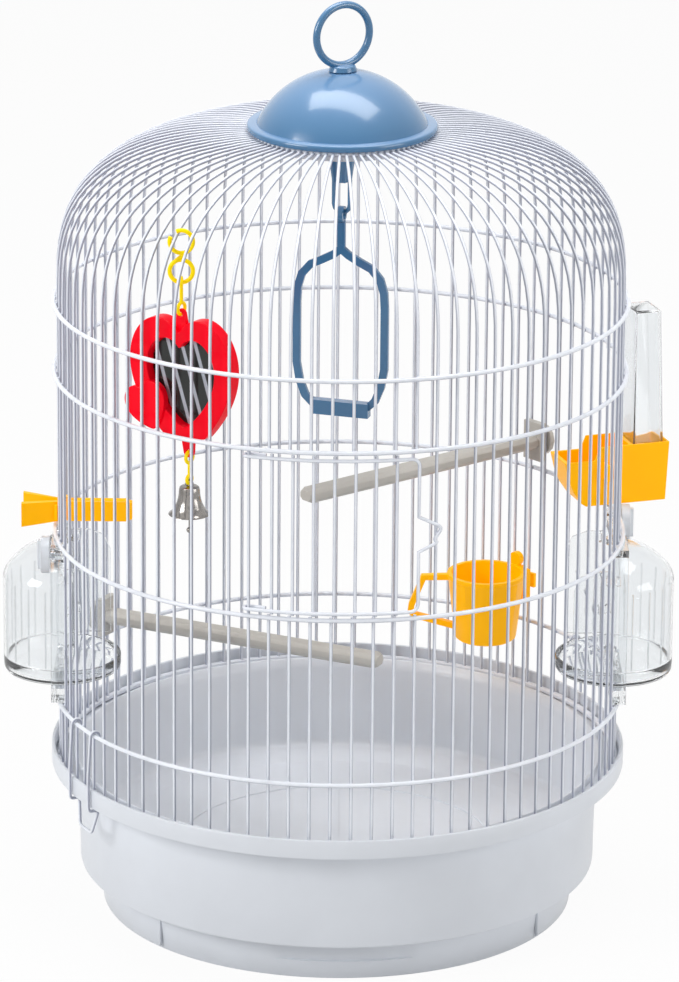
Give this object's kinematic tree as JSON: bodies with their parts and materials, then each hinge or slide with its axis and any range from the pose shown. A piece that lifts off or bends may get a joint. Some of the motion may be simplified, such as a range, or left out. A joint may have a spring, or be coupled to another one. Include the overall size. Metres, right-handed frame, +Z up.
{
  "type": "bird cage",
  "caption": "Round wire bird cage with a domed top, hanging ring, deep tray, hinged door, swing, heart mirror toy with bell, swivel feeders, seed cup and perches.",
  "frame": {"origin": "middle of the tray's foot, on the surface that the cage stands on", "axes": "+Z up, -Y out of the door, +X to the right as seen from the door"},
  "size_m": [0.3805, 0.3264, 0.5241],
  "materials": {
    "coated_wire": "white powder coat, satin",
    "white_plastic": "moulded, semi-gloss",
    "blue_plastic": "moulded, glossy",
    "orange_plastic": "moulded, semi-gloss",
    "yellow_plastic": "moulded, semi-gloss",
    "red_plastic": "moulded, glossy",
    "beige_plastic": "moulded, matt",
    "clear_plastic": "clear, polished",
    "frosted_plastic": "frosted",
    "polished_metal": "polished",
    "mirror_glass": "mirror"
  },
  "bodies": {
    "cage": {"tray": "white_plastic", "wire_cage": "coated_wire", "hoop_1": "coated_wire", "hoop_2": "coated_wire", "hoop_3": "coated_wire", "hoop_4": "coated_wire", "cap": "blue_plastic", "crown_disc": "white_plastic", "clamp_plug": "blue_plastic", "left_feeder_frame": "clear_plastic", "right_feeder_frame": "clear_plastic", "hopper_box": "orange_plastic", "seed_cup": "orange_plastic", "cup_clip": "orange_plastic", "upper_perch": "beige_plastic", "upper_perch_nut": "beige_plastic", "lower_perch": "beige_plastic", "lower_perch_nut": "beige_plastic", "peg_fixed_arm": "orange_plastic", "peg_pin": "orange_plastic"},
    "hanging_ring": {"hanging_ring": "blue_plastic"},
    "swing": {"swing": "blue_plastic"},
    "door": {"door": "coated_wire"},
    "toy_hook": {"toy_hook": "yellow_plastic"},
    "heart": {"toy_link": "yellow_plastic", "heart_frame": "red_plastic", "heart_mirror": "mirror_glass"},
    "bell": {"bell_link": "yellow_plastic", "bell": "polished_metal"},
    "clapper": {"clapper": "polished_metal"},
    "left_feeder": {"left_feeder_hood": "clear_plastic", "left_feeder_dish": "clear_plastic"},
    "right_feeder": {"right_feeder_hood": "clear_plastic", "right_feeder_dish": "clear_plastic"},
    "left_lock": {"left_feeder_lock": "frosted_plastic"},
    "right_lock": {"right_feeder_lock": "frosted_plastic"},
    "reservoir": {"hopper_reservoir": "clear_plastic"},
    "peg_arm": {"peg_moving_arm": "orange_plastic"},
    "left_tray_clip": {"left_tray_clip": "coated_wire"},
    "right_tray_clip": {"right_tray_clip": "coated_wire"}
  },
  "joints": [
    {"name": "ring_swivel", "type": "hinge", "parent": "cage", "child": "hanging_ring", "pos_m": [0, 0, 0.48451], "axis": [0, 0, 1], "continuous": true},
    {"name": "swing_hang", "type": "hinge", "parent": "cage", "child": "swing", "pos_m": [0, 0, 0.40385], "axis": [0.9563, -0.2924, 0], "range_deg": [-30, 30]},
    {"name": "door_hinge", "type": "hinge", "parent": "cage", "child": "door", "pos_m": [-0.04877, -0.15029, 0.2233], "axis": [0, 0, -1], "range_deg": [0, 110]},
    {"name": "toy_hang", "type": "hinge", "parent": "cage", "child": "toy_hook", "pos_m": [-0.08904, -0.11126, 0.41985], "axis": [-0.6248, -0.7808, 0], "range_deg": [-6, 0]},
    {"name": "heart_hang", "type": "hinge", "parent": "toy_hook", "child": "heart", "pos_m": [-0.08604, -0.11126, 0.39475], "axis": [1, 0, 0], "range_deg": [-1, 30]},
    {"name": "bell_hang", "type": "hinge", "parent": "heart", "child": "bell", "pos_m": [-0.08164, -0.11434, 0.30023], "axis": [0.5736, 0.8192, 0], "range_deg": [-15, 15]},
    {"name": "clapper_hang", "type": "hinge", "parent": "bell", "child": "clapper", "pos_m": [-0.08164, -0.11434, 0.27683], "axis": [0.8192, -0.5736, 0], "range_deg": [-15, 15]},
    {"name": "left_feeder_turn", "type": "hinge", "parent": "cage", "child": "left_feeder", "pos_m": [-0.157, 0.00108, 0], "axis": [0, 0, 1], "range_deg": [0, 180]},
    {"name": "right_feeder_turn", "type": "hinge", "parent": "cage", "child": "right_feeder", "pos_m": [0.15693, 0.00459, 0], "axis": [0, 0, 1], "range_deg": [0, 180]},
    {"name": "left_lock_turn", "type": "hinge", "parent": "cage", "child": "left_lock", "pos_m": [-0.16201, -0.02991, 0.212], "axis": [-1, 0.0069, 0], "range_deg": [0, 90]},
    {"name": "right_lock_turn", "type": "hinge", "parent": "cage", "child": "right_lock", "pos_m": [0.16082, 0.03573, 0.212], "axis": [0.9996, 0.0293, 0], "range_deg": [0, 90]},
    {"name": "reservoir_lift", "type": "slide", "parent": "cage", "child": "reservoir", "axis": [0, 0, 1], "range_m": [0, 0.09]},
    {"name": "peg_squeeze", "type": "hinge", "parent": "cage", "child": "peg_arm", "pos_m": [-0.1545, 0.00106, 0.2285], "axis": [0, 0, 1], "range_deg": [0, 10], "stiffness_Nm_per_rad": 0.05, "springref_deg": -5.73},
    {"name": "left_clip_swing", "type": "hinge", "parent": "cage", "child": "left_tray_clip", "pos_m": [-0.14054, -0.07654, 0.1244], "axis": [-0.4783, 0.8782, 0], "range_deg": [0, 110]},
    {"name": "right_clip_swing", "type": "hinge", "parent": "cage", "child": "right_tray_clip", "pos_m": [0.14321, 0.07142, 0.1244], "axis": [0.4463, -0.8949, 0], "range_deg": [0, 110]}
  ]
}
